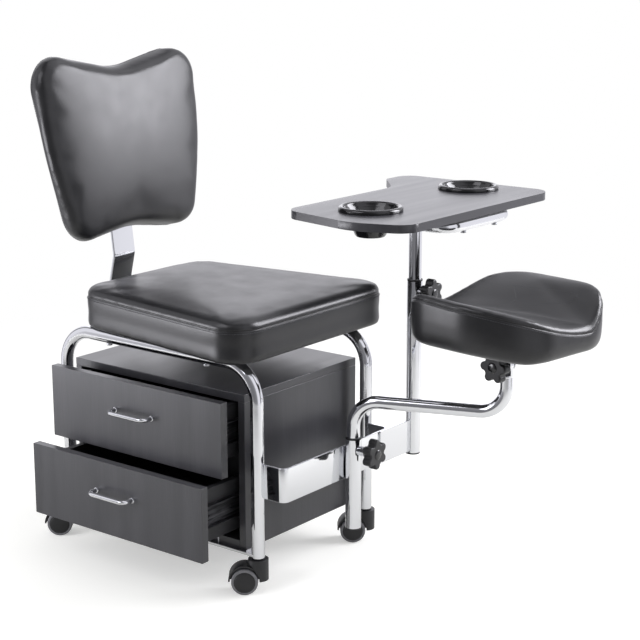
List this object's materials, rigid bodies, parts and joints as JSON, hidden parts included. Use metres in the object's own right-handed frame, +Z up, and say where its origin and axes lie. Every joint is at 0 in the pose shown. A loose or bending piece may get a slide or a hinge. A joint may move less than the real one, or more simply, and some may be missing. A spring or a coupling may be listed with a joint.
{
  "type": "pedicure chair",
  "caption": "Wheeled pedicure chair with padded seat and backrest, drawer cabinet between chrome hoops, swinging tilting footrest, and a work tray with lift-out bowls on a telescopic column.",
  "frame": {"origin": "on the floor under the middle of the whole chair's box, at the pose in the picture", "axes": "+X to the sitter's front, +Y to the sitter's left, +Z up"},
  "size_m": [1.032, 0.9243, 0.9541],
  "materials": {
    "black_upholstery": "satin",
    "chrome": "polished",
    "zinc_steel": "satin",
    "black_board": "satin",
    "drawer_board": "satin",
    "plywood": "matte",
    "runner_steel": "satin",
    "black_plastic": "satin",
    "tyre": "satin"
  },
  "bodies": {
    "chair": {"right_hoop": "chrome", "left_hoop": "chrome", "lower_rails": "chrome", "tube_inserts": "black_plastic", "seat_board": "plywood", "seat_cushion": "black_upholstery", "back_bar": "chrome", "backrest_board": "plywood", "backrest_cushion": "black_upholstery", "frame_bolts": "zinc_steel", "cabinet_top": "black_board", "cabinet_bottom": "black_board", "cabinet_front_panel": "black_board", "cabinet_rear_panel": "black_board", "cabinet_back_panel": "black_board", "cabinet_runners": "runner_steel", "tool_bracket": "chrome", "column_bracket": "chrome", "arm_socket": "chrome", "column_tube": "chrome", "clamp_nuts": "chrome"},
    "upper_drawer": {"upper_drawer_front": "black_board", "upper_drawer_box": "drawer_board", "upper_drawer_runners": "runner_steel", "upper_drawer_handle": "chrome"},
    "lower_drawer": {"lower_drawer_front": "black_board", "lower_drawer_box": "drawer_board", "lower_drawer_runners": "runner_steel", "lower_drawer_handle": "chrome"},
    "arm_knob": {"arm_knob": "black_plastic"},
    "column_knob": {"column_knob": "black_plastic"},
    "arm_bush": {"arm_bush": "black_plastic"},
    "footrest_arm": {"footrest_arm": "chrome", "tilt_tongue": "chrome"},
    "footrest": {"tilt_yoke": "chrome", "footrest_board": "plywood", "footrest_cushion": "black_upholstery", "footrest_screws": "zinc_steel"},
    "tilt_knob": {"tilt_knob": "black_plastic"},
    "column_bush": {"column_bush": "black_plastic"},
    "tray": {"tray_column": "chrome", "tray_loop": "chrome", "loop_plugs": "black_plastic", "tray_board": "black_board", "tray_screws": "zinc_steel"},
    "near_cup": {"near_cup": "black_plastic"},
    "far_cup": {"far_cup": "black_plastic"},
    "front_right_caster": {"front_right_caster_hood": "black_plastic"},
    "front_right_wheels": {"front_right_caster_hubs": "black_plastic", "front_right_caster_tyres": "tyre"},
    "front_left_caster": {"front_left_caster_hood": "black_plastic"},
    "front_left_wheels": {"front_left_caster_hubs": "black_plastic", "front_left_caster_tyres": "tyre"},
    "rear_right_caster": {"rear_right_caster_hood": "black_plastic"},
    "rear_right_wheels": {"rear_right_caster_hubs": "black_plastic", "rear_right_caster_tyres": "tyre"},
    "rear_left_caster": {"rear_left_caster_hood": "black_plastic"},
    "rear_left_wheels": {"rear_left_caster_hubs": "black_plastic", "rear_left_caster_tyres": "tyre"}
  },
  "joints": [
    {"name": "upper_drawer_slide", "type": "slide", "parent": "chair", "child": "upper_drawer", "axis": [0, -1, 0], "range_m": [-0.0465, 0.1905]},
    {"name": "lower_drawer_slide", "type": "slide", "parent": "chair", "child": "lower_drawer", "axis": [0, -1, 0], "range_m": [-0.102, 0.135]},
    {"name": "arm_swing", "type": "hinge", "parent": "chair", "child": "arm_bush", "pos_m": [0.10318, -0.12011, 0.262], "axis": [0, 0, 1], "range_deg": [-70, 20]},
    {"name": "arm_lift", "type": "slide", "parent": "arm_bush", "child": "footrest_arm", "axis": [0, 0, 1], "range_m": [0, 0.12]},
    {"name": "footrest_tilt", "type": "hinge", "parent": "footrest_arm", "child": "footrest", "pos_m": [0.37183, -0.01913, 0.43], "axis": [0.1392, 0.9903, 0], "range_deg": [-25, 25]},
    {"name": "tilt_knob_turn", "type": "hinge", "parent": "footrest_arm", "child": "tilt_knob", "pos_m": [0.37183, -0.01913, 0.43], "axis": [-0.1392, -0.9903, 0], "range_deg": [0, 360]},
    {"name": "column_swing", "type": "hinge", "parent": "chair", "child": "column_bush", "pos_m": [0.09019, 0.09489, 0.527], "axis": [0, 0, -1], "range_deg": [-90, 90]},
    {"name": "tray_lift", "type": "slide", "parent": "column_bush", "child": "tray", "axis": [0, 0, 1], "range_m": [-0.085, 0.15]},
    {"name": "near_cup_lift", "type": "slide", "parent": "tray", "child": "near_cup", "axis": [0, 0, 1], "range_m": [0, 0.1]},
    {"name": "far_cup_lift", "type": "slide", "parent": "tray", "child": "far_cup", "axis": [0, 0, 1], "range_m": [0, 0.1]},
    {"name": "arm_knob_turn", "type": "hinge", "parent": "chair", "child": "arm_knob", "pos_m": [0.10318, -0.12011, 0.241], "axis": [1, 0, 0], "range_deg": [0, 360]},
    {"name": "column_knob_turn", "type": "hinge", "parent": "chair", "child": "column_knob", "pos_m": [0.09019, 0.09489, 0.506], "axis": [1, 0, 0], "range_deg": [0, 360]},
    {"name": "front_right_caster_swivel", "type": "hinge", "parent": "chair", "child": "front_right_caster", "pos_m": [0.02819, -0.31111, 0.065], "axis": [0, 0, 1], "continuous": true},
    {"name": "front_right_wheels_roll", "type": "hinge", "parent": "front_right_caster", "child": "front_right_wheels", "pos_m": [0.00848, -0.3265, 0.025], "axis": [-0.6157, 0.788, 0], "continuous": true},
    {"name": "front_left_caster_swivel", "type": "hinge", "parent": "chair", "child": "front_left_caster", "pos_m": [0.02819, 0.02089, 0.065], "axis": [0, 0, 1], "continuous": true},
    {"name": "front_left_wheels_roll", "type": "hinge", "parent": "front_left_caster", "child": "front_left_wheels", "pos_m": [0.00848, 0.0055, 0.025], "axis": [-0.6157, 0.788, 0], "continuous": true},
    {"name": "rear_right_caster_swivel", "type": "hinge", "parent": "chair", "child": "rear_right_caster", "pos_m": [-0.46181, -0.31111, 0.065], "axis": [0, 0, 1], "continuous": true},
    {"name": "rear_right_wheels_roll", "type": "hinge", "parent": "rear_right_caster", "child": "rear_right_wheels", "pos_m": [-0.48152, -0.3265, 0.025], "axis": [-0.6157, 0.788, 0], "continuous": true},
    {"name": "rear_left_caster_swivel", "type": "hinge", "parent": "chair", "child": "rear_left_caster", "pos_m": [-0.46181, 0.02089, 0.065], "axis": [0, 0, 1], "continuous": true},
    {"name": "rear_left_wheels_roll", "type": "hinge", "parent": "rear_left_caster", "child": "rear_left_wheels", "pos_m": [-0.48152, 0.0055, 0.025], "axis": [-0.6157, 0.788, 0], "continuous": true}
  ]
}
